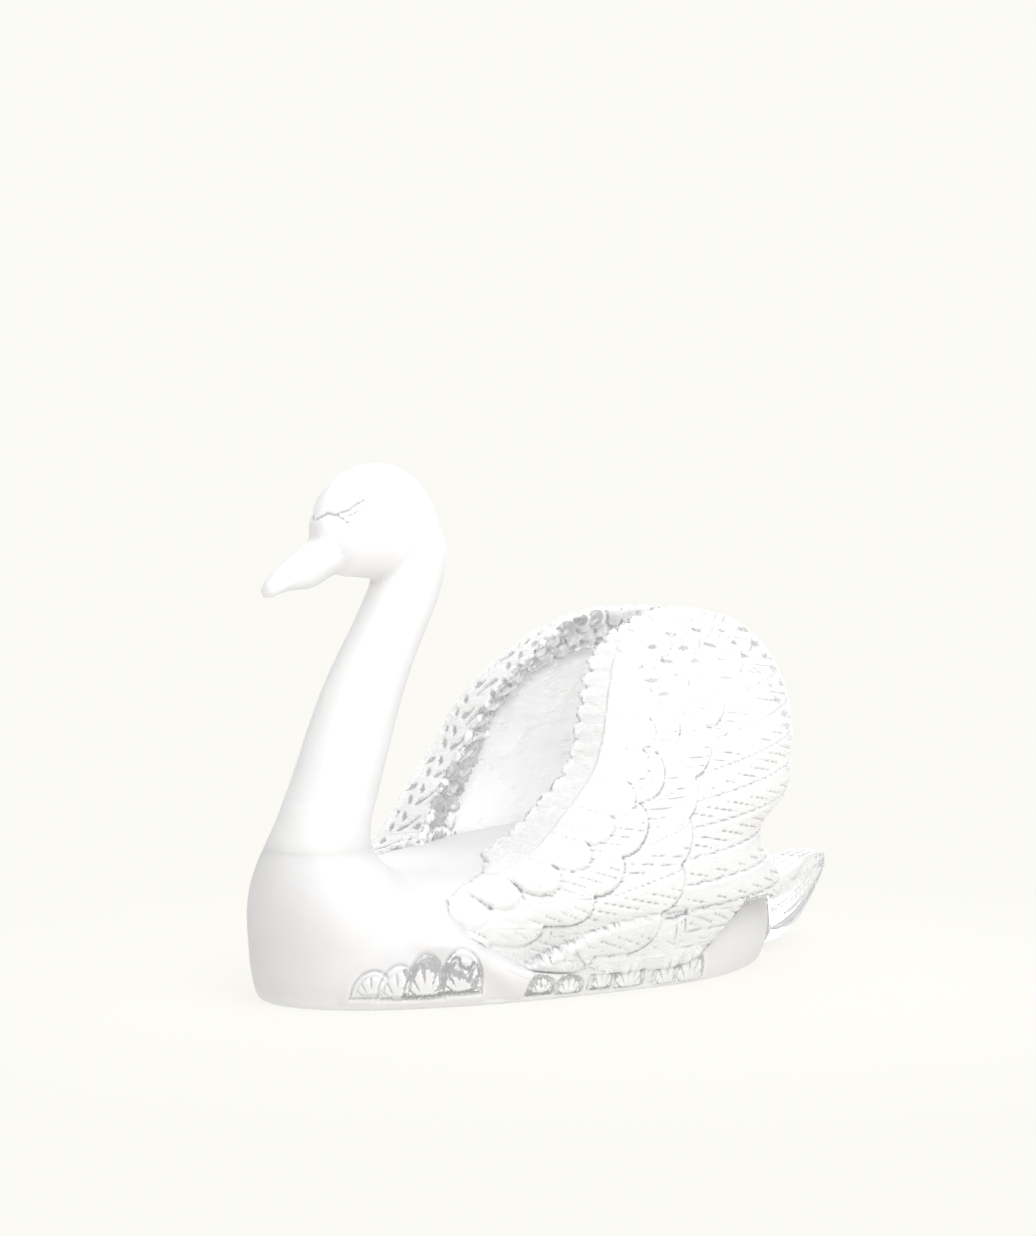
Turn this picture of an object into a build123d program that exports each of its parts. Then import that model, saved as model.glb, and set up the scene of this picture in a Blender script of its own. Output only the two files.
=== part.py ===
from build123d import *
import math
import os

# A swan in cut crystal, resting on its flat base. Millimetres, +Z up, bill towards -Y,
# the swan's left towards +X. The origin is on the base, under the middle of the length.
# Five glass castings are bonded together at flat ground faces: the body, the neck with
# the head, two wings and the tail. A thin clear sheet of adhesive lies in every joint.

os.makedirs("parts", exist_ok=True)

# ---- hull, the swimming body ----
breast_y = -169.0            # foremost point of the hull
stern_y = 114.0              # ground face that the tail is bonded to
hull_half_width = 74.0       # at the waterline
hull_widest_y = 8.0          # where the hull is broadest
waterline_z = 15.0           # height of the broadest section
back_z = 70.0                # top of the back, between the wings
base_inset = 5.0             # how far the lower edge rolls in to the resting face
hull_squareness = 2.6        # 2 is an ellipse from beam to back, more is boxier
breast_bluntness = 0.66      # 0.56 is a round breast seen from above, more is broader
stern_fineness = 0.25        # 0.56 is a round stern seen from above, less is more pointed
stern_overrun = 10.0         # the hull's egg shape runs on this far past the ground stern face

# ---- breast, which rises out of the hull into the neck ----
breast_foot_z = 2.0          # the breast grows out of the inside of the hull from here
breast_foot_setback = 6.0
breast_half_width = 44.0
breast_length = 84.0
shoulder_z = 46.0            # height of the notch between the breast and the back
shoulder_half_width = 38.0
shoulder_length = 72.0
shoulder_puff = 2.0          # how far the breast stands out in front of the hull
neck_joint_z = 68.0          # ground face between the body and the neck
neck_joint_radius = 24.0
neck_setback = 27.0          # middle of that face, behind the foremost point

# ---- neck ----
neck_lean = 51.0             # how far the top of the neck lies behind its foot
neck_height = 138.0          # from the ground face to the middle of the skull
neck_base_radius = 21.4
neck_low_radius = 19.5
neck_mid_radius = 17.3
neck_top_radius = 16.5
neck_sway = 7.0              # how far the upper neck sways back behind a straight line

# ---- skull and bill ----
skull_setback = 16.5         # middle of the skull, in front of the top of the neck
skull_front_reach = 35.5     # from the middle of the skull to the forehead
skull_back_reach = 34.0      # and to the nape
skull_width = 33.0
brow_rise = 2.0              # brow line above the top of the neck's axis
crown_rise = 32.0            # crown above the brow line
jaw_drop = 20.5              # jaw below the brow line
nape_flatness = 1.3          # 1 is a round nape, more slopes it down towards the neck
bill_root_depth = 25.0
bill_root_width = 24.0
bill_root_reach = 18.5       # root of the bill, in front of the middle of the skull
bill_root_drop = 5.5         # and below the brow line
bill_length = 42.5
bill_droop = 20.0            # how far the tip lies below the root
bill_arch = 2.0              # how far the bill's middle rises over a straight line
bill_tip_depth = 6.8
bill_tip_width = 10.0

# ---- wings ----
wing_stand_off = 9.0         # how far the wings stand out past the hull's beam
wing_front_y = -110.0        # foot of the leading edge, lying on the breast
wing_length = 240.0
wing_middle_share = 0.5167   # share of wing_length, from the front, where the pair is broadest
wing_low_z = 12.0            # lower edge of the wing at midships
wing_height = 159.0
wing_wall = 22.0             # thickness of the wing at its broadest
wing_gap = 20.0              # clear space between the two wings behind
valley_middle_share = 0.5583 # and where the hollow between the wings is broadest

# ---- ground pads that the wings are bonded to ----
pad_foot_inset = 13.0        # foot of the pad, inside the beam at the waterline
pad_head_inset = 38.0        # head of the pad, inside the beam at the top of the back
glue_middle_share = 0.3917   # middle of the adhesive sheet, share of wing_length from the front
glue_half_share = 0.25       # half its length, share of wing_length

# ---- tail fan ----
tail_length = 57.0
tail_root_half_width = 22.5
tail_tip_half_width = 4.0
tail_root_low_z = 3.0
tail_root_high_z = 34.0
tail_tip_low_z = 37.0
tail_tip_high_z = 43.5
tail_arch = 4.0              # how far the fan's upper side rises over a straight line

# ---- clearances ----
bond = 0.15                  # thickness of the clear adhesive between two ground faces
seat_gap = 0.25              # clear space round a wing where it lies on the body

# ---- places that follow from the sizes above ----
hull_back_y = stern_y + stern_overrun
neck_joint_y = breast_y + neck_setback
neck_top_y = neck_joint_y + neck_lean
neck_top_z = neck_joint_z + neck_height
skull_y = neck_top_y - skull_setback
brow_z = neck_top_z + brow_rise
wing_half_width = hull_half_width + wing_stand_off
valley_half_width = wing_half_width - wing_wall
wing_middle_y = wing_front_y + wing_middle_share * wing_length
valley_middle_y = wing_front_y + valley_middle_share * wing_length
glue_middle_y = wing_front_y + glue_middle_share * wing_length
glue_half_length = glue_half_share * wing_length

# Lines of the wing pair: height, half width, reach forward and reach back of the middle,
# as shares of wing_height, wing_half_width, wing_length and wing_length.
wing_lines = ((-0.05, 0.90, 0.565, 0.387), (0.06, 0.96, 0.590, 0.405), (0.17, 1.00, 0.610, 0.427),
              (0.28, 1.00, 0.520, 0.366), (0.42, 0.97, 0.390, 0.424), (0.54, 0.92, 0.328, 0.471),
              (0.70, 0.79, 0.260, 0.492), (0.78, 0.67, 0.227, 0.487), (0.86, 0.52, 0.176, 0.466),
              (0.93, 0.39, 0.134, 0.429), (1.01, 0.27, 0.084, 0.370))
valley_lines = ((0.325, 0.62, 0.479, 0.261), (0.37, 0.80, 0.429, 0.286), (0.465, 0.95, 0.361, 0.315),
                (0.54, 1.00, 0.307, 0.345), (0.70, 0.88, 0.231, 0.395), (0.78, 0.73, 0.189, 0.399),
                (0.86, 0.54, 0.134, 0.378), (0.93, 0.38, 0.092, 0.345), (1.02, 0.24, 0.059, 0.294))

# Side view of a wing, as shares of wing_length and wing_height from the foot of its leading edge.
leading_edge = ((0.0, 0.20), (0.09, 0.265), (0.197, 0.34), (0.275, 0.465), (0.33, 0.56), (0.385, 0.72),
                (0.456, 0.862), (0.504, 0.925), (0.588, 0.98), (0.68, 1.0), (0.78, 0.99), (0.874, 0.95),
                (0.95, 0.87), (1.02, 0.70))
lower_edge = ((1.02, 0.30), (1.0, 0.19), (0.90, 0.152), (0.78, 0.145), (0.655, 0.135), (0.59, 0.05),
              (0.52, 0.0), (0.40, -0.01), (0.27, -0.005), (0.17, 0.01), (0.11, 0.045), (0.06, 0.10),
              (0.02, 0.15), (0.0, 0.20))


def egg(half_width, front, widest, back, bluntness=0.56, stern=0.56):
    """A closed egg seen from above, from front to back along Y, mirrored about X = 0."""
    nose, tail = widest - front, back - widest
    with BuildSketch() as outline:
        with BuildLine():
            Bezier((0, front), (bluntness * half_width, front),
                   (half_width, widest - 0.56 * nose), (half_width, widest))
            Bezier((half_width, widest), (half_width, widest + 0.56 * tail),
                   (stern * half_width, back), (0, back))
            mirror(about=Plane.YZ)
        make_face()
    return outline.sketch


def stack_of_eggs(eggs):
    """A smooth solid through a stack of (height, egg) pairs."""
    with BuildPart() as stack:
        for height, outline in eggs:
            with BuildSketch(Plane.XY.offset(height)):
                add(outline)
        loft()
    return stack.part


def hull_blank(grow):
    """The whole swimming body before any face is ground on it, grown all round by grow."""
    beam = hull_half_width + grow
    front, back = breast_y - grow, hull_back_y + grow
    eggs = []
    for share in (0.0, 0.3):
        inset = base_inset * (1 - share) ** 2
        outline = egg(beam - inset, front + inset, hull_widest_y, back - inset,
                      breast_bluntness, stern_fineness)
        eggs.append((waterline_z * share, outline))
    rise = back_z + grow - waterline_z
    for share in (0.0, 0.3, 0.55, 0.75, 0.88, 0.96):
        swell = (1 - share ** hull_squareness) ** (1 / hull_squareness)
        nose = (hull_widest_y - front) * swell ** (1 + share)
        tail = (back - hull_widest_y) * swell ** 0.8
        outline = egg(beam * swell, hull_widest_y - nose, hull_widest_y, hull_widest_y + tail,
                      breast_bluntness, stern_fineness)
        eggs.append((waterline_z + rise * share, outline))
    return stack_of_eggs(eggs)


def breast_blank(grow):
    """The breast, from inside the hull up to the ground face under the neck."""
    foot_front = breast_y + breast_foot_setback - grow
    foot = egg(breast_half_width, foot_front, foot_front + 0.58 * breast_length,
               foot_front + breast_length)
    puff = breast_y - shoulder_puff
    shoulder = egg(shoulder_half_width + grow, puff - grow, puff + 0.53 * shoulder_length,
                   puff + shoulder_length + grow)
    radius = neck_joint_radius + grow
    collar = egg(radius, neck_joint_y - radius, neck_joint_y, neck_joint_y + radius)
    return stack_of_eggs(((breast_foot_z, foot), (shoulder_z, shoulder), (neck_joint_z, collar)))


def wing_slab(grow):
    """Side view of a wing as a slab that reaches out from between the two wings."""
    middle = Vector(wing_front_y + 0.5 * wing_length, wing_low_z + 0.4 * wing_height)

    def place(share):
        point = Vector(wing_front_y + share[0] * wing_length, wing_low_z + share[1] * wing_height)
        return point + (point - middle).normalized() * grow

    upper = [place(share) for share in leading_edge]
    lower = [place(share) for share in lower_edge]
    with BuildPart() as slab:
        with BuildSketch(Plane.YZ.offset(wing_gap / 4)):
            with BuildLine():
                Spline(*upper)
                Line(upper[-1], lower[0])
                Spline(*lower)
            make_face()
        extrude(amount=2 * wing_half_width)
    return slab.part


def from_lines(lines, half_width, middle_y, bluntness):
    """A solid through the eggs that a table of lines describes."""
    eggs = []
    for up, width, forward, back in lines:
        outline = egg(half_width * width, middle_y - forward * wing_length, middle_y,
                      middle_y + back * wing_length, bluntness)
        eggs.append((wing_low_z + up * wing_height, outline))
    return stack_of_eggs(eggs)


pad_foot_x = hull_half_width - pad_foot_inset
pad_slope = Vector(pad_foot_inset - pad_head_inset, 0, back_z - waterline_z)
pad_length = pad_slope.length
pad_lean = Vector(pad_slope.Z, 0, -pad_slope.X).normalized()
pad_face = Plane(origin=(pad_foot_x, 0, waterline_z), x_dir=(0, 1, 0), z_dir=pad_lean)
wing_face = pad_face.offset(bond)
stern_face = Plane.XZ.offset(-stern_y)

# ---- shapes that more than one piece is cut from or cut with ----
hull = hull_blank(0)
breast = breast_blank(0)
hull_clear = hull_blank(seat_gap)
breast_clear = breast_blank(seat_gap)
wing_side = wing_slab(0)
wing_side_clear = wing_slab(seat_gap)
wing_pair = from_lines(wing_lines, wing_half_width, wing_middle_y, 0.62)
valley = from_lines(valley_lines, valley_half_width, valley_middle_y, 0.56)

with BuildPart() as wing_seat:
    add(wing_side_clear)
    split(bisect_by=pad_face, keep=Keep.TOP)
wing_seat_right = mirror(wing_seat.part, about=Plane.YZ)

with BuildPart() as body_core:
    add(hull_clear)
    add(breast_clear)
    split(bisect_by=wing_face, keep=Keep.BOTTOM)

# ---- body: hull and breast in one frosted casting, with four ground faces ----
with BuildPart() as body:
    add(hull)
    split(bisect_by=stern_face, keep=Keep.TOP)
    add(wing_seat.part, mode=Mode.SUBTRACT)
    add(wing_seat_right, mode=Mode.SUBTRACT)
    add(breast)
body.part.label = "body"
export_step(body.part, "parts/body.step")

# ---- left wing: a cupped shell that stands on its pad and lies over the flank ----
with BuildPart() as left_wing:
    add(wing_pair)
    add(wing_side, mode=Mode.INTERSECT)
    add(valley, mode=Mode.SUBTRACT)
    split(bisect_by=Plane.YZ.offset(wing_gap / 2), keep=Keep.TOP)
    add(body_core.part, mode=Mode.SUBTRACT)
left_wing.part.label = "left_wing"
export_step(left_wing.part, "parts/left_wing.step")

# ---- right wing: the left wing's mirror image ----
with BuildPart() as right_wing:
    add(left_wing.part)
    mirror(about=Plane.YZ, mode=Mode.REPLACE)
right_wing.part.label = "right_wing"
export_step(right_wing.part, "parts/right_wing.step")

# ---- adhesive between each wing and its pad ----
with BuildPart() as left_wing_bond:
    with BuildSketch(pad_face):
        with Locations((glue_middle_y, 0.46 * pad_length)):
            Ellipse(glue_half_length, 0.38 * pad_length)
    extrude(amount=bond)
left_wing_bond.part.label = "left_wing_bond"
export_step(left_wing_bond.part, "parts/left_wing_bond.step")

with BuildPart() as right_wing_bond:
    add(left_wing_bond.part)
    mirror(about=Plane.YZ, mode=Mode.REPLACE)
right_wing_bond.part.label = "right_wing_bond"
export_step(right_wing_bond.part, "parts/right_wing_bond.step")

# ---- neck and head, one frosted casting ----
with BuildPart() as neck_and_head:
    lower_half_radius = (neck_low_radius + neck_mid_radius) / 2
    upper_half_radius = (neck_mid_radius + neck_top_radius) / 2
    # rings: share of the height, radius, and share of the sway
    neck_rings = ((0.0, neck_joint_radius, 0), (0.12, neck_base_radius, 0), (0.36, neck_low_radius, 0),
                  (0.54, lower_half_radius, 0.12), (0.70, neck_mid_radius, 0.62),
                  (0.84, upper_half_radius, 1.0), (1.0, neck_top_radius, 0.66))
    foot_z = neck_joint_z + bond
    for share, radius, sway in neck_rings:
        along = neck_joint_y + neck_lean * share + neck_sway * sway
        with BuildSketch(Plane.XY.offset(foot_z + (neck_top_z - foot_z) * share)):
            with Locations((0, along)):
                Circle(radius)
    loft()
    # skull: ellipses stood up across the head, from the nape forward to the forehead
    for share in (-0.97, -0.85, -0.6, -0.3, 0.0, 0.3, 0.6, 0.85, 0.97):
        swell = math.sqrt(1 - share ** 2)
        reach = skull_front_reach if share > 0 else skull_back_reach
        top = brow_z + crown_rise * (swell if share > 0 else swell ** nape_flatness)
        bottom = brow_z - jaw_drop * swell
        with BuildSketch(Plane.XZ.offset(share * reach - skull_y)):
            with Locations((0, (top + bottom) / 2)):
                Ellipse(skull_width / 2 * swell ** 0.9, (top - bottom) / 2)
    loft()
    # bill: ellipses that shrink along a drooping line, the last one rounding off the tip
    bill_root_y = skull_y - bill_root_reach
    bill_root_z = brow_z - bill_root_drop
    for share, taper in ((0.0, 1), (0.3, 1), (0.6, 1), (0.85, 1), (0.97, 0.9), (1.0, 0.55)):
        width = (bill_root_width + (bill_tip_width - bill_root_width) * share) * taper
        depth = (bill_root_depth + (bill_tip_depth - bill_root_depth) * share) * taper
        height = bill_root_z - bill_droop * share + 4 * bill_arch * share * (1 - share)
        with BuildSketch(Plane.XZ.offset(bill_length * share - bill_root_y)):
            with Locations((0, height)):
                Ellipse(width / 2, depth / 2)
    loft()
neck_and_head.part.label = "neck_and_head"
export_step(neck_and_head.part, "parts/neck_and_head.step")

# ---- adhesive between the neck and the body ----
with BuildPart() as neck_bond:
    with BuildSketch(Plane.XY.offset(neck_joint_z)):
        with Locations((0, neck_joint_y)):
            Circle(neck_joint_radius)
    extrude(amount=bond)
neck_bond.part.label = "neck_bond"
export_step(neck_bond.part, "parts/neck_bond.step")


# ---- tail: a fan that narrows and turns up towards its tip ----
def tail_section(share):
    """Lower edge, upper edge and half width of the tail fan, share of the way to its tip."""
    low = tail_root_low_z + (tail_tip_low_z - tail_root_low_z) * share ** 2
    high = tail_root_high_z + (tail_tip_high_z - tail_root_high_z) * share
    high += tail_arch * math.sin(math.pi * share ** 2)
    spread = math.cos(share * math.pi / 2)
    return low, high, tail_tip_half_width + (tail_root_half_width - tail_tip_half_width) * spread


with BuildPart() as tail:
    for share in (0.0, 0.2, 0.4, 0.62, 0.8, 0.93, 1.0):
        low, high, half_width = tail_section(share)
        corner = 0.3 * min(high - low, 2 * half_width)
        with BuildSketch(Plane.XZ.offset(-stern_y - bond - (tail_length - bond) * share)):
            with Locations((0, (low + high) / 2)):
                RectangleRounded(2 * half_width, high - low, corner)
    loft()
tail.part.label = "tail"
export_step(tail.part, "parts/tail.step")

# ---- adhesive between the tail and the stern ----
with BuildPart() as tail_bond:
    low, high, half_width = tail_section(0)
    with BuildSketch(stern_face):
        with Locations((0, (low + high) / 2)):
            RectangleRounded(2 * half_width, high - low, 0.3 * (high - low))
    extrude(amount=-bond)
    add(hull, mode=Mode.INTERSECT)
tail_bond.part.label = "tail_bond"
export_step(tail_bond.part, "parts/tail_bond.step")
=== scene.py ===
import math

import bmesh
import bpy
import numpy as np
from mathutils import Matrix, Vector
from mathutils.bvhtree import BVHTree


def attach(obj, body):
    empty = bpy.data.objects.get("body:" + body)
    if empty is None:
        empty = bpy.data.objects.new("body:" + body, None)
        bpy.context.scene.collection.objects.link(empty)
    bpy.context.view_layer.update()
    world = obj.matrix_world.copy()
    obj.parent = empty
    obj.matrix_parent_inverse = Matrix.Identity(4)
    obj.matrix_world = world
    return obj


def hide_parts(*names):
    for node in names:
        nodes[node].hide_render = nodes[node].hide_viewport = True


# A swan in crystal glass on a pale studio floor. Metres in the scene, millimetres in the arrays.
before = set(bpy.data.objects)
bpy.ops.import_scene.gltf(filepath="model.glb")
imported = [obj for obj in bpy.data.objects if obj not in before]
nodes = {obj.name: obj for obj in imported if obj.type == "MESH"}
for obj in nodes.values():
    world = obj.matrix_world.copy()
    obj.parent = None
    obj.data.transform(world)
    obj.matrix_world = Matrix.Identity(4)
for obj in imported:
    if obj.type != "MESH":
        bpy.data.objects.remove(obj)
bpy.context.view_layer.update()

NECK_JOINT_Z = 68.0
JOINT_CLEARANCE = 0.01      # each side of the neck joint stops this far from it
NECK_FOOT_DROP = 0.0006     # metres; takes the neck across its adhesive sheet into the breast
BODY_FACE = 1.34            # face widths of the even meshes that the carving starts from
WING_FACE = 1.68
TAIL_FACE = 0.62
BACK_TOP_Z = NECK_JOINT_Z - 0.1
TAIL_ROOT_Y = 114.15
TAIL_REACH = 56.85
BACKGROUND = (0.965, 0.956, 0.913, 1.0)


# ---------------------------------------------------------------- mesh tools
def casting(name, sources, drop_foot=0.0):
    """A new object with merged copies of these CAD nodes' meshes; the second one's foot reaches down."""
    bm = bmesh.new()
    for i, source in enumerate(sources):
        first = len(bm.verts)
        bm.from_mesh(nodes[source].data)
        bm.verts.ensure_lookup_table()
        if i and drop_foot:
            part = bm.verts[first:]
            foot = min(v.co.z for v in part)
            for v in part:
                if v.co.z < foot + 0.0002:
                    v.co.z -= drop_foot
    bmesh.ops.remove_doubles(bm, verts=bm.verts, dist=0.00001)
    mesh = bpy.data.meshes.new(name)
    bm.to_mesh(mesh)
    bm.free()
    obj = bpy.data.objects.new(name, mesh)
    bpy.context.scene.collection.objects.link(obj)
    return obj


def remesh(obj, size):
    """Gives the object one closed skin of even faces, each about this many millimetres wide."""
    mod = obj.modifiers.new("even", "REMESH")
    mod.mode = "VOXEL"
    mod.voxel_size = size * 0.001
    bpy.context.view_layer.update()
    graph = bpy.context.evaluated_depsgraph_get()
    mesh = bpy.data.meshes.new_from_object(obj.evaluated_get(graph))
    obj.modifiers.clear()
    old = obj.data
    obj.data = mesh
    bpy.data.meshes.remove(old)
    mesh.name = obj.name


def points(mesh):
    """Every vertex's place in millimetres."""
    co = np.empty(len(mesh.vertices) * 3)
    mesh.vertices.foreach_get("co", co)
    return co.reshape(-1, 3) * 1000


def put(mesh, co):
    mesh.vertices.foreach_set("co", (co / 1000).ravel())
    mesh.update()


def normals(mesh):
    no = np.empty(len(mesh.vertices) * 3)
    mesh.vertices.foreach_get("normal", no)
    return no.reshape(-1, 3)


def edges(mesh):
    e = np.empty(len(mesh.edges) * 2, np.int64)
    mesh.edges.foreach_get("vertices", e)
    return e.reshape(-1, 2)


def spread(values, e, count):
    """The mean of each vertex's neighbours."""
    a, b = e[:, 0], e[:, 1]
    degree = np.bincount(a, minlength=count) + np.bincount(b, minlength=count)
    out = np.empty_like(values)
    for k in range(values.shape[1]):
        total = np.bincount(a, values[b, k], count) + np.bincount(b, values[a, k], count)
        out[:, k] = total / np.maximum(degree, 1)
    return out


def relax(mesh, rounds, strength=0.5, keep=0.52, weight=None):
    """Rolls the edges off without shrinking the form."""
    co, e = points(mesh), edges(mesh)
    w = 1.0 if weight is None else weight[:, None]
    for _ in range(rounds):
        co += strength * w * (spread(co, e, len(co)) - co)
        co -= keep * w * (spread(co, e, len(co)) - co)
    put(mesh, co)


def refine(mesh, chosen):
    """Splits the chosen faces in four."""
    bm = bmesh.new()
    bm.from_mesh(mesh)
    bm.faces.ensure_lookup_table()
    picked = set()
    for i in np.nonzero(chosen)[0]:
        picked.update(bm.faces[int(i)].edges)
    bmesh.ops.subdivide_edges(bm, edges=list(picked), cuts=1, use_grid_fill=True)
    bm.to_mesh(mesh)
    bm.free()


def face_facts(mesh):
    """Every face's middle in millimetres, and its normal."""
    centre = np.empty(len(mesh.polygons) * 3)
    normal = np.empty(len(mesh.polygons) * 3)
    mesh.polygons.foreach_get("center", centre)
    mesh.polygons.foreach_get("normal", normal)
    return centre.reshape(-1, 3) * 1000, normal.reshape(-1, 3)


def note(mesh, name, values):
    """Keeps one number per vertex, for the materials."""
    attribute = mesh.attributes.new(name, "FLOAT", "POINT")
    attribute.data.foreach_set("value", np.asarray(values, np.float32))


def bending(mesh):
    """How far each vertex stands out from its neighbours: below zero in a crease."""
    co, e = points(mesh), edges(mesh)
    return ((co - spread(co, e, len(co))) * normals(mesh)).sum(1)


def step(x, low, high):
    """0 below low, 1 above high, and a smooth rise between them."""
    t = np.clip((x - low) / (high - low), 0, 1)
    return t * t * (3 - 2 * t)


def near_line(p, line):
    """Distance from points to a polyline, and the share of the way along it."""
    line = np.array(line, float)
    lengths = np.linalg.norm(np.diff(line, axis=0), axis=1)
    total, done = lengths.sum(), 0.0
    best = np.full(len(p), 1e9)
    share = np.zeros(len(p))
    for a, b, length in zip(line[:-1], line[1:], lengths):
        d = (b - a) / length
        t = np.clip((p - a) @ d, 0, length)
        r = np.linalg.norm(p - a - t[:, None] * d, axis=1)
        closer = r < best
        best[closer] = r[closer]
        share[closer] = (done + t[closer]) / total
        done += length
    return best, share


def along(line, share):
    """The point at this share of the way along a polyline."""
    line = np.array(line, float)
    lengths = np.linalg.norm(np.diff(line, axis=0), axis=1)
    marks = np.concatenate([[0], np.cumsum(lengths)]) / lengths.sum()
    return np.array([np.interp(share, marks, line[:, k]) for k in range(line.shape[1])]).T


# ---------------------------------------------------------------- feathers
def lay_feather(height, p, root, tip, half_width, base, lift=0.9, barb=0.5, pitch=6.2, slant=1.1, edge=1.0,
                crown=0.6, gutter=0.8, rachis=0.3, tag=None, value=0.0):
    """Lays one feather with a rounded tip over the heights that are there already.

    base is its height and lift how much the tip stands over the root; barb, pitch and slant are the
    depth, spacing and sweep of the barb cuts; crown is the swell across it, gutter the groove
    around it and rachis its middle rib. Where a tag array is given, the feather writes value to it.
    """
    root, tip = np.array(root, float), np.array(tip, float)
    length = np.linalg.norm(tip - root)
    a = (tip - root) / length
    n = np.array([-a[1], a[0]])
    s = (p - root) @ a
    t = (p - root) @ n
    close = (s > -4) & (s < length + 4) & (np.abs(t) < half_width + 4)
    if not close.any():
        return
    s, t, old = s[close], t[close], height[close]
    shoulder = max(length - 1.15 * half_width, 0.35 * length)
    width = half_width * (0.72 + 0.28 * np.clip(s / shoulder, 0, 1))
    end = np.sqrt((np.maximum(s - shoulder, 0) / (length - shoulder)) ** 2 + (t / half_width) ** 2)
    inside = np.where(s > shoulder, (1 - end) * min(half_width, length - shoulder), width - np.abs(t))
    inside = np.minimum(inside, s + 1.5)
    share = np.clip(s / length, 0, 1)
    v = t / half_width
    new = base + lift * (share - 0.45) + crown * (1 - np.clip(v * v, 0, 1))
    new += rachis * np.exp(-(t / 0.9) ** 2) * (1 - 0.6 * share)
    phase = (s - slant * np.abs(t)) / pitch
    row = np.floor(phase)
    lane = np.sin(row * 12.9898 + root[0] * 0.7 + np.sign(t) * 2.1)
    reach = half_width * (0.55 + 0.25 * lane)
    cut = np.clip(np.cos(2 * np.pi * phase), 0, 1) ** 5
    off = np.abs(np.abs(t) - reach)
    cut *= step(np.abs(t), 0.8, 2.2) * (1 - step(off, 0.22 * half_width, 0.34 * half_width))
    new -= barb * cut * step(inside, 0.6, 2.4)
    cover = step(inside, 0, edge)
    old = old - gutter * np.exp(-((inside + 0.7) / 0.75) ** 2) * (inside < 0.2)
    height[close] = old * (1 - cover) + new * cover
    if tag is not None:
        tag[close] = tag[close] * (1 - cover) + value * cover


LEADING = ((-106, 40), (-88, 54), (-63, 66), (-44, 86), (-31, 101), (-18, 126), (-1, 149), (11, 159),
           (31, 168), (53, 171), (77, 169), (99, 163))


# Feathers of the outer side, each (y, z) of its root, (y, z) of its tip and its half width.
# Lower primaries, tucked under everything, to the wing's point.
PRIMARIES = (((-50, 14), (18, 17), 8), ((-20, 24), (48, 27), 9), ((5, 26), (80, 33), 10),
             ((10, 34), (108, 38), 10), ((20, 44), (131, 43), 11))
# Long flight feathers to the trailing rim, from the lowest up.
FLIGHT = (((-5, 44), (120, 57), 12), ((-5, 56), (118, 71), 12), ((0, 68), (122, 86), 12),
          ((2, 82), (129, 100), 12.5), ((6, 94), (134, 115), 12.5), ((12, 106), (135, 129), 12.5),
          ((18, 120), (131, 142), 12.5), ((28, 136), (124, 154), 12), ((36, 152), (106, 164), 11))
GREAT_COVERTS = (((-92, 24), (-40, 22), 11), ((-70, 28), (-8, 34), 14), ((-62, 40), (4, 54), 15),
                 ((-52, 54), (10, 76), 16), ((-36, 74), (15, 100), 18), ((-24, 96), (30, 122), 18),
                 ((-8, 126), (52, 140), 17), ((18, 150), (84, 154), 13))
MIDDLE_COVERTS = (((-98, 34), (-66, 34), 9), ((-84, 42), (-44, 46), 11), ((-72, 54), (-28, 62), 13),
                  ((-54, 68), (-14, 82), 14), ((-36, 90), (-2, 106), 13), ((-24, 112), (14, 128), 13),
                  ((-6, 136), (34, 148), 12), ((16, 156), (58, 161), 9))
SMALL_COVERTS = 13


def wing_relief(p):
    """Relief of the outer side of a wing, from a place seen from the side."""
    h = np.zeros(len(p))
    for root, tip, w in PRIMARIES:
        lay_feather(h, p, root, tip, w, 0.4, lift=1.2, slant=2.6, pitch=11.0, barb=0.6)
    for root, tip, w in FLIGHT:
        lay_feather(h, p, root, tip, w, 0.8, lift=1.5, slant=3.0, pitch=13.0, barb=0.7)
    for root, tip, w in GREAT_COVERTS:
        lay_feather(h, p, root, tip, w, 1.5, lift=1.9, slant=2.2, pitch=9.5, barb=0.6)
    for root, tip, w in MIDDLE_COVERTS:
        lay_feather(h, p, root, tip, w, 2.2, lift=1.7, slant=1.9, pitch=8.0, barb=0.55)
    # small coverts along the leading edge
    for i in range(SMALL_COVERTS):
        root = along(LEADING, 0.02 + 0.062 * i)
        ahead = along(LEADING, 0.06 + 0.062 * i)
        d = (ahead - root) / np.linalg.norm(ahead - root)
        aim = np.array([d[1], -d[0]]) * 0.85 + d * 0.45 + np.array([0.25, 0])
        aim /= np.linalg.norm(aim)
        size = 15 + 6 * math.sin(math.pi * i / (SMALL_COVERTS - 1))
        lay_feather(h, p, root - aim * 4, root + aim * size, 0.46 * size, 2.7, lift=1.1, slant=1.2,
                    pitch=3.6, barb=0.35)
    return h


def scale_band(p, line, rows, size, count):
    """Small overlapping scales in rows along a line, and which of them are clear."""
    h = np.zeros(len(p))
    tag = np.zeros(len(p))
    for r in reversed(range(rows)):
        for i in range(count):
            share = (i + 0.5 * (r % 2)) / count * 0.94 + 0.02
            root = along(line, share)
            ahead = along(line, min(share + 0.03, 1.0))
            d = (ahead - root) / np.linalg.norm(ahead - root)
            inward = np.array([d[1], -d[0]])
            aim = inward * 0.8 + d * 0.55
            aim /= np.linalg.norm(aim)
            root = root + inward * (r * size * 0.62 - 2)
            is_clear = 1.0 if math.sin(i * 7.31 + r * 2.7) > 0.15 else 0.0
            lay_feather(h, p, root, root + aim * size * 1.25, 0.5 * size, 0.5 + 0.35 * (rows - r),
                        lift=1.3, barb=0.5, pitch=3.4, slant=1.0, crown=0.7, edge=0.9, tag=tag,
                        value=is_clear)
    return h, tag


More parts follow.
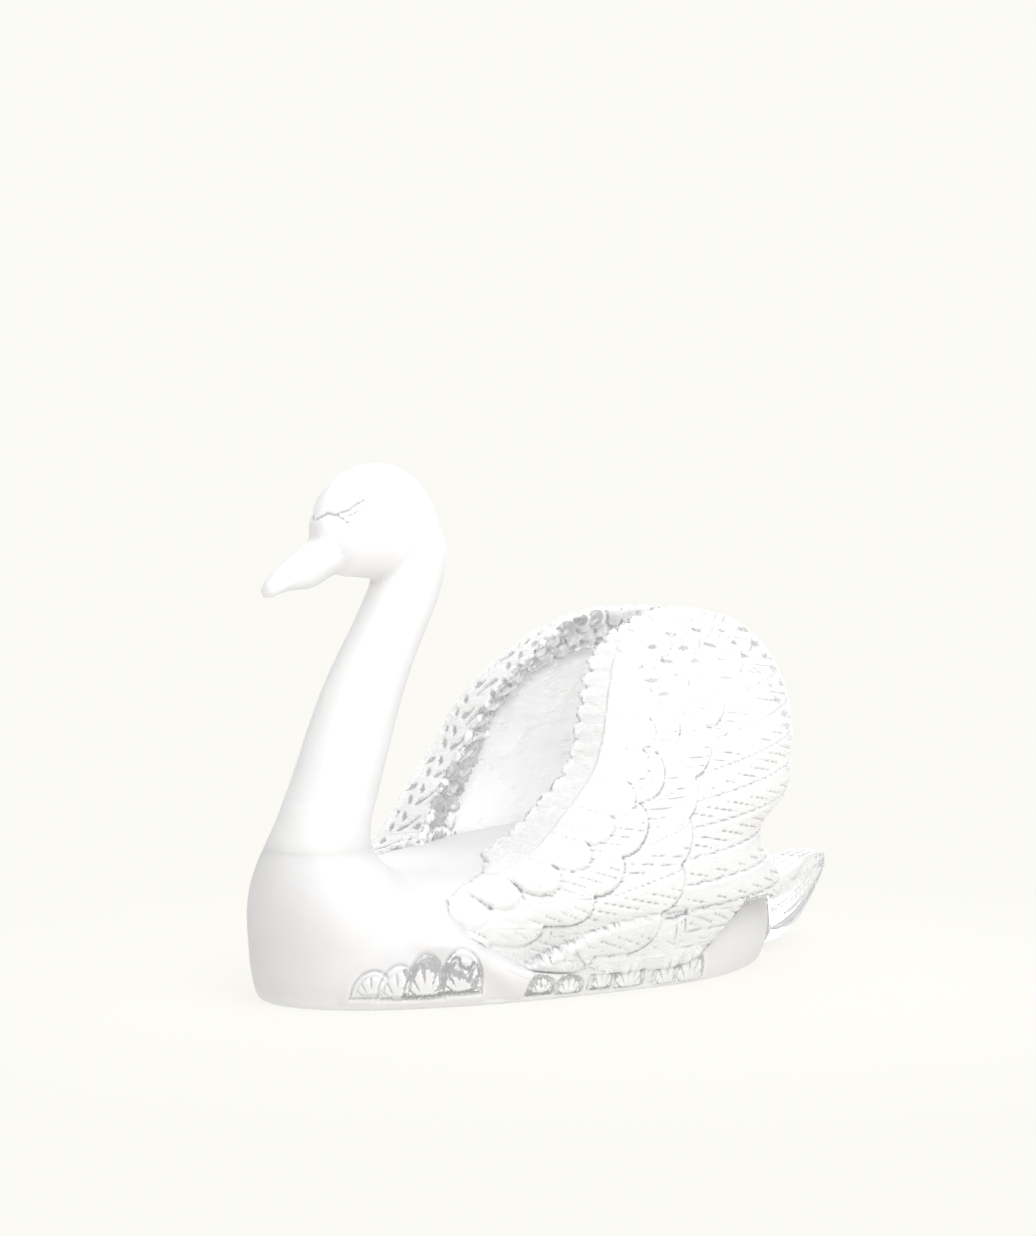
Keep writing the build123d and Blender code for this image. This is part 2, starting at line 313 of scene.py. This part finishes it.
def thin_out(mesh):
    """The foot and the lower edge of the wing lie closer to the body, as if carved on it."""
    graph = bpy.context.evaluated_depsgraph_get()
    tree = BVHTree.FromObject(nodes["body"], graph)
    co = points(mesh)
    keep = np.minimum(0.28 + 0.72 * step(co[:, 1], -106, -52), 1)
    keep *= np.maximum(0.25 + 0.75 * step(co[:, 2], 9, 40), step(co[:, 1], 25, 60))
    foot = (keep < 0.98) & (co[:, 0] > 30) & (co[:, 2] < 66)
    rim = (co[:, 2] > 40) & (co[:, 2] < 72)
    for i in np.nonzero(foot | rim)[0]:
        p = Vector(co[i] / 1000)
        near, normal, _, _ = tree.find_nearest(p)
        gap = (p - near).dot(normal)
        if 0 < gap < 0.0016 and normal.z > 0.6:
            co[i] = np.array(near - normal * 0.0008) * 1000
            continue
        if near.x > 0.03 and gap > 0.0002:
            co[i] = np.array(p - (p - near) * (1 - keep[i])) * 1000
    put(mesh, co)


def flip_side(mesh):
    """Turns a left wing into a right one."""
    bm = bmesh.new()
    bm.from_mesh(mesh)
    for v in bm.verts:
        v.co.x = -v.co.x
    bmesh.ops.reverse_faces(bm, faces=bm.faces)
    bm.to_mesh(mesh)
    bm.free()


def make_wing(side):
    """A wing cut with feathers; side is 1 for the left wing and -1 for the right one."""
    obj = casting("left_wing_cut" if side > 0 else "right_wing_cut", ["left_wing"])
    remesh(obj, WING_FACE)
    mesh = obj.data
    relax(mesh, 8)
    centre, normal = face_facts(mesh)
    lead, _ = near_line(centre[:, 1:], LEADING)
    refine(mesh, (normal[:, 0] > 0.15) | ((lead < 14) & (centre[:, 2] > 52)))
    thin_out(mesh)
    relax(mesh, 5)

    co, no = points(mesh), normals(mesh)
    p = co[:, 1:]
    y, z = p[:, 0], p[:, 1]
    lead, share = near_line(p, LEADING)
    # feathers on the outer side, with the scallops of the waterline where it comes down to them
    outer = step(no[:, 0], 0.02, 0.4)
    h_out = wing_relief(p) - 1.1
    h_out *= (0.2 + 0.8 * step(y, -98, -60)) * (0.5 + 0.5 * step(z, 12, 30))
    fans, fan_clear = flank_relief(p)
    low = (1 - step(z, 15, 20)) * fan_clear
    h_out = h_out * (1 - low) + (fans + 0.3) * low
    # scales inside the leading edge
    h_in, facet = scale_band(p, LEADING, 3, 9.0, 27)
    h_in -= 0.7
    inner = (1 - step(no[:, 0], -0.3, 0.05)) * (1 - step(lead, 17, 24)) * step(z, 42, 60)
    # faint long strokes over the rest of the hollow
    sweep = (z - 0.35 * y) / 6.5 + 0.3 * np.sin(y / 9)
    strokes = np.clip(np.cos(2 * np.pi * sweep), 0, 1) ** 4
    strokes *= np.clip(np.sin(y / 4.2 + 2.2 * np.sin(z / 7)), 0, 1)
    hollow = (1 - step(no[:, 0], -0.5, -0.1)) * step(lead, 20, 28)
    # nicks across the front face, leaves cut into the right wing's one, nicks across the rim
    front = (1 - outer) * step(-no[:, 1], 0.2, 0.6)
    nick = np.clip(np.cos(2 * np.pi * (share * 46 + co[:, 0] * 0.03)), 0, 1) ** 3
    nick_depth = 0.1 if side > 0 else 0.2
    leaf = np.sin(share * 150 + 2.4 * np.sin(co[:, 0] / 3.4)) * np.sin(co[:, 0] / 2.7 + share * 47)
    leaf_depth = 0.0 if side > 0 else 1.0
    rear = (1 - outer) * step(no[:, 1], 0.15, 0.6) * step(z, 48, 60)
    rim_cut = np.clip(np.cos(2 * np.pi * z / 7.5 + 0.12 * co[:, 0]), 0, 1) ** 2
    move = outer * h_out + inner * h_in - 0.28 * hollow * strokes - nick_depth * front * nick
    move = move - leaf_depth * front * step(leaf, 0.3, 0.6) - 0.7 * rear * rim_cut
    co += no * move[:, None]
    put(mesh, co)
    relax(mesh, 1, 0.35, 0.2)

    bend = bending(mesh)
    # painted shade: the base colour grows darker in the creases of the cut
    note(mesh, "painted_shade", np.clip(0.62 + 2.6 * np.minimum(bend + 0.03, 0), 0, 1))
    note(mesh, "polish", np.clip(0.5 + bend * 3.0, 0, 1))
    under = (no[:, 2] < -0.35) * (y > 45) * (z < 62)
    band = inner * facet * (1 - step(lead, 16, 18)) * (leaf > -0.3) + 1.2 * rear + under
    # clear nicks between the feather tips near the trailing rim and on the shoulder
    streak = np.sin(z * 0.95 + 0.8 * np.sin(y / 5.0)) + 0.7 * np.sin(y * 0.31 + z * 0.17)
    band += outer * step(y, 92, 97) * (streak > 1.0)
    band += outer * step(z, 128, 134) * (lead > 9) * (lead < 24) * (streak > 1.25)
    if side < 0:
        band += front * (leaf > 0.4)
    note(mesh, "clear", np.clip(band, 0, 1))
    # painted light: marks the upper hollow of the wing to glow faintly, brightening it where it lies in
    # shade
    note(mesh, "glow", hollow * step(z, 60, 75))
    if side < 0:
        flip_side(mesh)
    return obj


# ---------------------------------------------------------------- body, neck and head
# Scallops along the waterline: y and z of the foot's middle, half width and height.
SCALLOPS = ((-141, 8, 6.5, 9), (-131, 7, 7, 12), (-120, 7, 8, 16), (-104.5, 8, 9, 17), (-66, 4, 6.5, 8),
            (-51.5, 3, 7, 8), (-34, 4, 6.5, 10), (-19, 3, 8.5, 13), (4, 2, 8.5, 15), (18, 1, 9.5, 17.5))
# The soft crease that sweeps from the breast down to the waterline.
RIDGE = ((-128, 34), (-109, 28), (-97, 23), (-88, 17), (-76, 7))


def flank_relief(p):
    """Relief of the scallops and the crease, and how clear the glass is in the scallops."""
    h = np.zeros(len(p))
    polish = np.zeros(len(p))
    for y0, z0, w, tall in SCALLOPS:
        t = (p[:, 0] - y0) / w
        s = (p[:, 1] - z0) / tall
        r = np.sqrt(np.clip(t, -9, 9) ** 2 + np.clip(s, 0, 9) ** 2)
        inside = (1 - r) * w
        inside = np.minimum(inside, (p[:, 1] - z0 + 1.5))
        angle = np.arctan2(p[:, 1] - z0 + 3, p[:, 0] - y0)
        rays = np.clip(np.cos(angle * 15), 0, 1) ** 2
        cover = step(inside, 0, 1.3)
        dish = 1.1 * step(inside, 0, 2.5) - 0.5 * np.clip(r, 0, 1)
        dish -= 0.7 * rays * step(r, 0.25, 0.5) * step(inside, 0.5, 2)
        h = h * (1 - cover) + dish * cover
        h -= 0.7 * np.exp(-((inside + 0.8) / 0.8) ** 2)
        polish = np.maximum(polish, step(inside, -1.5, 0.5))
    d, share = near_line(p, RIDGE)
    side = np.sign((p[:, 0] + 100) * 0.45 + (p[:, 1] - 23) * 1.0)
    fade = step(share, 0.0, 0.3) * (1 - 0.5 * step(share, 0.85, 1.0))
    crest = 1.3 * np.exp(-(d / 5.0) ** 2) * fade
    trough = 0.9 * np.exp(-((d * side + 9) / 5.0) ** 2) * fade * (np.abs(d) < 30)
    h += crest - trough
    return h, polish


BROW = ((1.5, -142.0, 214.9), (6.1, -139.6, 217.6), (9.6, -136.4, 216.6), (11.6, -132.6, 213.6))
LID = ((8.6, -137.4, 217.0), (11.4, -131.6, 218.6), (12.4, -127.4, 221.6), (12.8, -124.6, 223.0))
LOWER_LID = ((11.0, -134.2, 215.6), (12.6, -129.8, 217.2), (13.4, -125.6, 219.6))
MOUTH = ((2.6, -164.0, 181.5), (6.0, -153.0, 189.8), (8.6, -142.0, 196.6), (10.8, -133.0, 199.6))
NOSTRIL = ((4.6, -150.5, 200.5), (6.6, -146.4, 203.2))
# Each engraved line with its depth and its half width.
FACE_LINES = ((BROW, 1.3, 1.3), (LID, 1.3, 1.1), (LOWER_LID, 0.6, 0.9), (MOUTH, 0.3, 1.5),
              (NOSTRIL, 0.4, 1.0))


def how_far(p, centre, size):
    """Distance from a centre, counted in the sizes of a swelling there."""
    return np.linalg.norm((p - np.array(centre)) / np.array(size), axis=1)


def face_relief(co):
    """Eyes, brow and the line of the bill, both sides alike, with the chin and the bill's underside."""
    p = np.column_stack([np.abs(co[:, 0]), co[:, 1], co[:, 2]])
    h = np.zeros(len(p))
    for line, depth, wide in FACE_LINES:
        d, share = near_line(p, line)
        h -= depth * np.exp(-(d / wide) ** 2) * (0.35 + 0.65 * np.sin(np.pi * np.clip(share, 0.05, 0.95)))
    eye = how_far(p, (12.2, -130.0, 219.4), (4.0, 3.6, 2.2))
    h += 0.75 * np.exp(-eye ** 2 * 1.6)
    ridge = how_far(p, (12.0, -130.0, 225.5), (6.0, 8.0, 3.0))
    h += 0.5 * np.exp(-ridge ** 2)
    chin = how_far(co, (0.0, -127.5, 192.0), (6.5, 6.5, 5.0))
    h += 1.6 * np.exp(-chin ** 2)
    under = how_far(co, (0.0, -148.0, 188.0), (7.0, 13.0, 6.0))
    h += 2.6 * np.exp(-under ** 2)
    return h


def cut_at_joint(obj, keep_above):
    """Keeps one side of the ground face and closes it with a flat face."""
    bm = bmesh.new()
    bm.from_mesh(obj.data)
    z = (NECK_JOINT_Z + (JOINT_CLEARANCE if keep_above else -JOINT_CLEARANCE)) * 0.001
    geom = bm.verts[:] + bm.edges[:] + bm.faces[:]
    got = bmesh.ops.bisect_plane(bm, geom=geom, dist=0.0000005, plane_co=(0, 0, z), plane_no=(0, 0, 1),
                                 clear_inner=keep_above, clear_outer=not keep_above)
    rim = [g for g in got["geom_cut"] if isinstance(g, bmesh.types.BMEdge)]
    bmesh.ops.holes_fill(bm, edges=[e for e in rim if e.is_boundary], sides=0)
    bmesh.ops.recalc_face_normals(bm, faces=bm.faces)
    for e in bm.edges:
        if all(abs(v.co.z - z) < 1e-6 for v in e.verts):
            e.smooth = False
    bm.to_mesh(obj.data)
    bm.free()


# Where neighbouring forms flow into each other: middle, sizes and rounds of smoothing.
BLENDS = (((0, -142, 68), (40, 40, 16), 60),     # neck into breast
          ((0, -110, 192), (22, 20, 10), 14),    # throat
          ((0, -71, 208), (30, 16, 18), 110),    # nape
          ((0, -131, 211), (20, 12, 12), 10))    # forehead into bill


def flow(co, e, weight, rounds):
    """Draws the weighted vertices towards their neighbours."""
    for _ in range(rounds):
        co += weight[:, None] * (spread(co, e, len(co)) - co)


def make_body_and_neck():
    """Body, neck and head as one smooth form, cut in two at the neck joint."""
    body = casting("swan_body", ["body", "neck_and_head"], NECK_FOOT_DROP)
    remesh(body, BODY_FACE)
    mesh = body.data
    relax(mesh, 6)
    co, e = points(mesh), edges(mesh)
    for centre, size, rounds in BLENDS:
        flow(co, e, np.exp(-(((co - np.array(centre)) / np.array(size)) ** 2).sum(1)) * 0.6, rounds)
    # breast and hull are one soft form, without a crease where they meet
    hull = 0.6 * step(-co[:, 1], 62, 92) * step(co[:, 2], 3, 9) * (1 - step(co[:, 2], 78, 92))
    flow(co, e, hull, 70)
    co[:, 2] = np.maximum(co[:, 2], 0)
    back = (co[:, 1] > -115) & (co[:, 2] < 75)
    co[back, 2] = np.minimum(co[back, 2], BACK_TOP_Z)
    put(mesh, co)
    neck = bpy.data.objects.new("swan_neck", mesh.copy())
    bpy.context.scene.collection.objects.link(neck)
    cut_at_joint(body, False)
    cut_at_joint(neck, True)
    carve_flanks(body.data)
    carve_face(neck.data)
    return body, neck


def carve_flanks(mesh):
    """Scallops and crease on both flanks of the body."""
    centre, normal = face_facts(mesh)
    low = (centre[:, 2] < 27) & (centre[:, 1] > -152) & (centre[:, 1] < 32)
    refine(mesh, low & (np.abs(centre[:, 0]) > 28) & (normal[:, 2] > -0.5))
    co, no = points(mesh), normals(mesh)
    h, polish = flank_relief(co[:, 1:])
    side = step(np.abs(no[:, 0]), 0.15, 0.5) * step(co[:, 2], 1.0, 3.0) * step(np.abs(co[:, 0]), 24, 40)
    co += no * (h * side)[:, None]
    put(mesh, co)
    co = points(mesh)
    note(mesh, "polish", polish * side)
    note(mesh, "clear", polish * side * (h < 0.35) * step(co[:, 1], -133, -126))
    # painted shade: the base colour grows darker in creases and low in the breast
    note(mesh, "painted_shade", np.clip(0.5 + bending(mesh) * 4 - 0.20 * painted_low_shade(co), 0, 1))


def carve_face(mesh):
    """Eyes, brow and bill on the head."""
    centre, _ = face_facts(mesh)
    refine(mesh, centre[:, 2] > 90)
    relax(mesh, 2, weight=step(points(mesh)[:, 2], 92, 100))
    co, no = points(mesh), normals(mesh)
    co += no * (face_relief(co) * step(co[:, 2], 150, 170))[:, None]
    put(mesh, co)
    co = points(mesh)
    note(mesh, "polish", np.zeros(len(co)))
    note(mesh, "clear", np.zeros(len(co)))
    # painted shade: the base colour grows darker in the creases of the face and low on the neck, lighter on
    # ridges
    note(mesh, "painted_shade", np.clip(0.5 + bending(mesh) * 14 - 0.20 * painted_low_shade(co), 0, 1))


def painted_low_shade(co):
    """How much painted shade darkens the base colour: most low in the breast, less towards the back, none in
    the head, standing in for the greyer look of thick glass.
    """
    return (1 - step(co[:, 2], 40, 125)) * (1 - 0.6 * step(co[:, 1], -100, -40))


# ---------------------------------------------------------------- tail
def make_tail():
    """The tail fan: fluted on top, with the edges of its feathers layered down both sides."""
    obj = casting("tail_cut", ["tail"])
    remesh(obj, TAIL_FACE)
    mesh = obj.data
    relax(mesh, 10)
    co, no = points(mesh), normals(mesh)
    # u runs from root to tip, v across, k from the underside to the top
    u = np.clip((co[:, 1] - TAIL_ROOT_Y) / TAIL_REACH, 0, 1)
    half = 4 + 18.5 * np.cos(u * math.pi / 2)
    low = 3 + 34 * u ** 2
    high = 34 + 9.5 * u + 4 * np.sin(np.pi * u ** 2)
    v = co[:, 0] / half
    top = step(no[:, 2], 0.1, 0.6)
    side = step(np.abs(no[:, 0]), 0.25, 0.7)
    fan = 1.0 * (np.abs(np.cos(v * np.pi * 2.5)) ** 0.5 - 0.6)
    barb = np.clip(np.cos(2 * np.pi * (co[:, 1] - 3 * np.abs(np.sin(v * np.pi * 2.5))) / 4.2), 0, 1) ** 3
    k = (co[:, 2] - low) / (high - low)
    layer = np.zeros(len(co))
    for cut, depth in ((0.30, 1.1), (0.62, 1.3), (0.84, 0.8)):
        layer -= depth * np.exp(-((k - cut - 0.05 * np.sin(3 * u)) * (high - low) / 1.0) ** 2)
        layer += 0.4 * np.exp(-((k - cut - 0.1) * (high - low) / 2.4) ** 2)
    move = top * (fan - 0.25 * barb) + side * (1 - top) * (layer - 0.2 * barb * step(k, 0.3, 0.4))
    move *= step(u, 0.03, 0.12)
    co += no * move[:, None]
    put(mesh, co)
    relax(mesh, 1, 0.3, 0.15)
    # painted shade: the base colour grows darker where the cut goes in, lighter where it stands out
    note(mesh, "painted_shade", np.clip(0.5 + 0.4 * move, 0, 1))
    note(mesh, "polish", np.clip(0.5 + bending(mesh) * 4, 0, 1))
    note(mesh, "clear", np.maximum((1 - top) * (layer < 0.25), (u > 0.6) | (np.abs(v) > 0.8)))
    return obj


# ---------------------------------------------------------------- materials
def ramp(tree, source, stops):
    """A colour ramp driven by source; each stop is a position and a colour."""
    node = tree.nodes.new("ShaderNodeValToRGB")
    element = node.color_ramp.elements
    element[0].position, element[0].color = stops[0][0], (*stops[0][1], 1)
    element[1].position, element[1].color = stops[-1][0], (*stops[-1][1], 1)
    for place, colour in stops[1:-1]:
        element.new(place).color = (*colour, 1)
    tree.links.new(source, node.inputs["Fac"])
    return node.outputs["Color"]


def glass(name, transmission, ior, rough, tone_and_shade, grain, grain_size, subsurface=0.0):
    """Glass whose roughness changes with the polish of the cut and a fine grain, and whose base colour is
    darkened by painted shade in the creases and low in the breast, over a random cloud of tone.
    """
    mat = bpy.data.materials.new(name)
    mat.use_nodes = True
    tree = mat.node_tree
    shader = tree.nodes["Principled BSDF"]
    shader.inputs["IOR"].default_value = ior
    shader.inputs["Transmission Weight"].default_value = transmission
    shader.inputs["Subsurface Weight"].default_value = subsurface
    shader.inputs["Subsurface Radius"].default_value = (0.02, 0.02, 0.022)
    shader.inputs["Subsurface Scale"].default_value = 1.0
    place = tree.nodes.new("ShaderNodeTexCoord").outputs["Object"]
    cloud = tree.nodes.new("ShaderNodeTexNoise")
    cloud.inputs["Scale"].default_value = 38
    cloud.inputs["Detail"].default_value = 3
    tree.links.new(place, cloud.inputs["Vector"])
    # painted shade: the base colour follows this attribute, darker in the creases and grooves of the cut and
    # low in the breast, a little lighter on ridges
    painted_shade = tree.nodes.new("ShaderNodeAttribute")
    painted_shade.attribute_name = "painted_shade"
    polish = tree.nodes.new("ShaderNodeAttribute")
    polish.attribute_name = "polish"
    blend = tree.nodes.new("ShaderNodeMath")
    blend.operation = "MULTIPLY_ADD"
    tree.links.new(cloud.outputs["Fac"], blend.inputs[0])
    blend.inputs[1].default_value = 0.3
    tree.links.new(painted_shade.outputs["Fac"], blend.inputs[2])
    tree.links.new(ramp(tree, blend.outputs[0], tone_and_shade), shader.inputs["Base Color"])
    shine = tree.nodes.new("ShaderNodeMath")
    shine.operation = "MULTIPLY_ADD"
    tree.links.new(cloud.outputs["Fac"], shine.inputs[0])
    shine.inputs[1].default_value = 0.25
    tree.links.new(polish.outputs["Fac"], shine.inputs[2])
    # painted light: the hollow of the wing glows faintly with emission, standing in for light carried inside
    # the glass into it
    glow = tree.nodes.new("ShaderNodeAttribute")
    glow.attribute_name = "glow"
    painted_glow = tree.nodes.new("ShaderNodeMath")
    painted_glow.operation = "MULTIPLY"
    tree.links.new(glow.outputs["Fac"], painted_glow.inputs[0])
    painted_glow.inputs[1].default_value = 0.14
    shader.inputs["Emission Color"].default_value = (1.0, 0.99, 0.985, 1)
    tree.links.new(painted_glow.outputs[0], shader.inputs["Emission Strength"])
    tree.links.new(ramp(tree, shine.outputs[0], rough), shader.inputs["Roughness"])
    dust = tree.nodes.new("ShaderNodeTexNoise")
    dust.inputs["Scale"].default_value = grain_size
    dust.inputs["Detail"].default_value = 2
    tree.links.new(place, dust.inputs["Vector"])
    bump = tree.nodes.new("ShaderNodeBump")
    bump.inputs["Strength"].default_value = grain
    bump.inputs["Distance"].default_value = 0.0002
    tree.links.new(dust.outputs["Fac"], bump.inputs["Height"])
    tree.links.new(bump.outputs["Normal"], shader.inputs["Normal"])
    return mat


def greys(*stops):
    """Ramp stops from positions and plain levels."""
    return tuple((position, (value, value, value)) for position, value in stops)


# Base colour ramps: their low grey stops are painted shade for the creases and the low breast, their high
# stops the near-white of the glass.
satin = glass("satin_crystal", 0.22, 1.54, greys((0.0, 0.55), (0.35, 0.48), (1.0, 0.16)),
              ((0.1, (0.45, 0.44, 0.46)), (0.38, (0.80, 0.795, 0.80)), (0.62, (0.90, 0.895, 0.90)),
               (1.0, (0.95, 0.95, 0.95))), 0.25, 2600, 0.25)
cut = glass("cut_crystal", 0.24, 1.54, greys((0.2, 0.42), (0.62, 0.28), (1.0, 0.08)),
            ((0.15, (0.42, 0.41, 0.43)), (0.5, (0.80, 0.795, 0.805)), (0.66, (0.95, 0.95, 0.95)),
             (1.0, (0.985, 0.985, 0.985))), 0.12, 1500, 0.15)
clear = glass("clear_crystal", 0.7, 1.56, greys((0.2, 0.12), (0.62, 0.06), (1.0, 0.02)),
              ((0.1, (0.93, 0.93, 0.95)), (0.6, (0.97, 0.97, 0.98)), (1.0, (0.99, 0.99, 0.995))), 0.06, 1500)
film = glass("clear_adhesive", 0.95, 1.5, greys((0.0, 0.05), (1.0, 0.1)),
             ((0.0, (0.97, 0.97, 0.96)), (1.0, (0.99, 0.99, 0.98))), 0.05, 900)


def clear_share(mesh):
    """Which faces are left clear instead of satin."""
    value = np.empty(len(mesh.vertices), np.float32)
    mesh.attributes["clear"].data.foreach_get("value", value)
    loop = np.empty(len(mesh.loops), np.int32)
    mesh.loops.foreach_get("vertex_index", loop)
    start = np.empty(len(mesh.polygons), np.int32)
    mesh.polygons.foreach_get("loop_start", start)
    return (value[loop[start]] > 0.5).astype(np.int32)


# ---------------------------------------------------------------- pieces
body, neck = make_body_and_neck()
pieces = ((body, "body", "satin_crystal", satin), (neck, "neck_and_head", "satin_crystal", satin),
          (make_wing(1), "left_wing", "cut_crystal", cut), (make_wing(-1), "right_wing", "cut_crystal", cut),
          (make_tail(), "tail", "cut_crystal", cut))
for obj, node, slot, mat in pieces:
    obj.data.materials.clear()
    obj.data.materials.append(mat)
    obj.data.materials.append(clear)
    obj.data.polygons.foreach_set("use_smooth", [True] * len(obj.data.polygons))
    obj.data.polygons.foreach_set("material_index", clear_share(obj.data))
    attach(obj, "root")
    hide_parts(*((node, "neck_bond") if node == "neck_and_head" else (node,)))
for node in ("left_wing_bond", "right_wing_bond", "tail_bond"):
    nodes[node].data.materials.clear()
    nodes[node].data.materials.append(film)

# ---------------------------------------------------------------- studio
scene = bpy.context.scene
scene.view_settings.view_transform = "Standard"
scene.view_settings.look = "None"
world = bpy.data.worlds.new("studio")
scene.world = world
world.use_nodes = True
backdrop = world.node_tree.nodes["Background"]
backdrop.inputs["Color"].default_value = BACKGROUND
ambient = world.node_tree.nodes.new("ShaderNodeBackground")
ambient.inputs["Color"].default_value = (0.95, 0.945, 0.945, 1)
ambient.inputs["Strength"].default_value = 0.80
path = world.node_tree.nodes.new("ShaderNodeLightPath")
choose = world.node_tree.nodes.new("ShaderNodeMixShader")
world.node_tree.links.new(path.outputs["Is Camera Ray"], choose.inputs["Fac"])
world.node_tree.links.new(ambient.outputs["Background"], choose.inputs[1])
world.node_tree.links.new(backdrop.outputs["Background"], choose.inputs[2])
world.node_tree.links.new(choose.outputs["Shader"], world.node_tree.nodes["World Output"].inputs["Surface"])


def plane(name, centre, size_x, size_y, towards=None):
    """A flat stage piece, turned to face a point where one is given."""
    bm = bmesh.new()
    bmesh.ops.create_grid(bm, x_segments=1, y_segments=1, size=0.5)
    mesh = bpy.data.meshes.new(name)
    bmesh.ops.scale(bm, verts=bm.verts, vec=(size_x, size_y, 1))
    if towards is not None:
        turn = (Vector(towards) - Vector(centre)).to_track_quat("Z", "Y").to_matrix()
        bmesh.ops.rotate(bm, verts=bm.verts, cent=(0, 0, 0), matrix=turn)
    bmesh.ops.translate(bm, verts=bm.verts, vec=centre)
    bm.to_mesh(mesh)
    bm.free()
    obj = bpy.data.objects.new(name, mesh)
    scene.collection.objects.link(obj)
    return obj


floor = plane("floor", (0, 0, -0.0002), 14, 14)
mat = bpy.data.materials.new("pale_floor")
mat.use_nodes = True
tree = mat.node_tree
shader = tree.nodes["Principled BSDF"]
shader.inputs["Base Color"].default_value = (0.86, 0.855, 0.83, 1)
shader.inputs["Roughness"].default_value = 0.9
shader.inputs["Specular IOR Level"].default_value = 0.0
glow = tree.nodes.new("ShaderNodeEmission")
glow.inputs["Color"].default_value = BACKGROUND
place = tree.nodes.new("ShaderNodeTexCoord").outputs["Object"]
reach = tree.nodes.new("ShaderNodeVectorMath")
reach.operation = "LENGTH"
tree.links.new(place, reach.inputs[0])
fade = tree.nodes.new("ShaderNodeMapRange")
fade.interpolation_type = "SMOOTHSTEP"
fade.inputs["From Min"].default_value = 0.12
fade.inputs["From Max"].default_value = 0.42
fade.inputs["To Min"].default_value = 0.86
fade.inputs["To Max"].default_value = 1.0
tree.links.new(reach.outputs["Value"], fade.inputs["Value"])
mix = tree.nodes.new("ShaderNodeMixShader")
tree.links.new(fade.outputs["Result"], mix.inputs["Fac"])
tree.links.new(shader.outputs["BSDF"], mix.inputs[1])
tree.links.new(glow.outputs["Emission"], mix.inputs[2])
tree.links.new(mix.outputs["Shader"], tree.nodes["Material Output"].inputs["Surface"])
floor.data.materials.append(mat)

dark = bpy.data.materials.new("dark_card")
dark.use_nodes = True
dark.node_tree.nodes["Principled BSDF"].inputs["Base Color"].default_value = (0.02, 0.02, 0.022, 1)
dark.node_tree.nodes["Principled BSDF"].inputs["Roughness"].default_value = 0.8
middle = Vector((0, -0.02, 0.1))


def direction(azimuth, elevation):
    """Unit vector towards an azimuth and an elevation in degrees; azimuth 0 is in front of the bird."""
    a, e = math.radians(azimuth), math.radians(elevation)
    return Vector((math.sin(a) * math.cos(e), -math.cos(a) * math.cos(e), math.sin(e)))


# dark cards, seen only in the glass, give it the edges that a studio does
for name, azimuth, elevation, distance, wide, tall in (
        ("card_right", 138, 12, 0.8, 0.30, 0.9), ("card_left", -38, 10, 0.9, 0.22, 0.9),
        ("card_back", 205, 38, 0.95, 0.25, 0.25), ("card_top", 60, 72, 1.0, 0.5, 0.10)):
    card = plane(name, middle + distance * direction(azimuth, elevation), wide, tall, middle)
    card.data.materials.append(dark)
    card.visible_camera = False
    card.visible_shadow = False
    card.visible_diffuse = False


def lamp(name, azimuth, elevation, distance, size, power):
    """A soft square lamp facing the bird, unseen by the camera."""
    data = bpy.data.lights.new(name, "AREA")
    data.shape = "SQUARE"
    data.size = size
    data.energy = power
    obj = bpy.data.objects.new(name, data)
    obj.location = middle + distance * direction(azimuth, elevation)
    obj.rotation_euler = (middle - obj.location).to_track_quat("-Z", "Y").to_euler()
    scene.collection.objects.link(obj)
    obj.visible_camera = False


lamp("key", 70, 30, 1.7, 0.8, 11.5)
lamp("top", 96, 66, 1.5, 0.9, 9.5)
lamp("back", 232, 8, 1.6, 1.4, 15.0)

CAMERA_AIM = Vector((0, -0.0263982606, 0.1680608175944343))
CAMERA_AZIMUTH = 51.5
CAMERA_ELEVATION = 2.2
CAMERA_DISTANCE = 1.4
camera = bpy.data.objects.new("camera", bpy.data.cameras.new("camera"))
camera.data.lens = 86.93
camera.data.sensor_width = 36
camera.data.clip_end = 50
camera.location = CAMERA_AIM + CAMERA_DISTANCE * direction(CAMERA_AZIMUTH, CAMERA_ELEVATION)
camera.rotation_euler = (CAMERA_AIM - camera.location).to_track_quat("-Z", "Y").to_euler()
scene.collection.objects.link(camera)
scene.camera = camera

bpy.context.view_layer.update()
